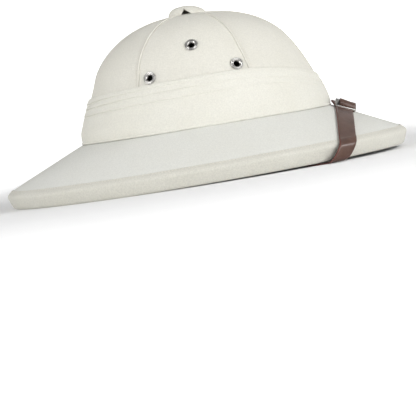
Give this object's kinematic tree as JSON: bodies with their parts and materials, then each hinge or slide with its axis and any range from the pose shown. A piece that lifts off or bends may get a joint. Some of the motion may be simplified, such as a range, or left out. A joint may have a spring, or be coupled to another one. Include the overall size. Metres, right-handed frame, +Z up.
{
  "type": "pith helmet",
  "caption": "Pith helmet with a domed crown, wide sloping brim, pleated hatband, vented top, eyelets and a leather strap worn over the front of the brim.",
  "frame": {"origin": "middle of the rim, on the surface that the helmet rests on", "axes": "+X towards the front, +Y towards the wearer's left, +Z up"},
  "size_m": [0.358, 0.291, 0.1528],
  "materials": {
    "shell": "plain cotton-lined pith, matt",
    "crown_cloth": "fine white cotton, matt",
    "brim_cloth": "fine white cotton, matt",
    "binding": "cotton twill tape, matt",
    "puggaree": "folded white cotton, matt",
    "leather": "dark brown, smooth, half gloss",
    "nickel": "bright nickel"
  },
  "bodies": {
    "root": {"shell": "shell", "crown_gore_front_left": "crown_cloth", "crown_gore_left": "crown_cloth", "crown_gore_rear_left": "crown_cloth", "crown_gore_rear_right": "crown_cloth", "crown_gore_right": "crown_cloth", "crown_gore_front_right": "crown_cloth", "brim_cover": "brim_cloth", "brim_binding": "binding", "puggaree": "puggaree", "vent_knob": "crown_cloth", "eyelet_right_top": "nickel", "eyelet_right_front": "nickel", "eyelet_right_rear": "nickel", "eyelet_left_top": "nickel", "eyelet_left_front": "nickel", "eyelet_left_rear": "nickel", "chin_strap": "leather", "strap_rivet_right": "nickel", "strap_rivet_left": "nickel", "buckle_frame": "nickel", "strap_fold": "leather"}
  },
  "joints": []
}
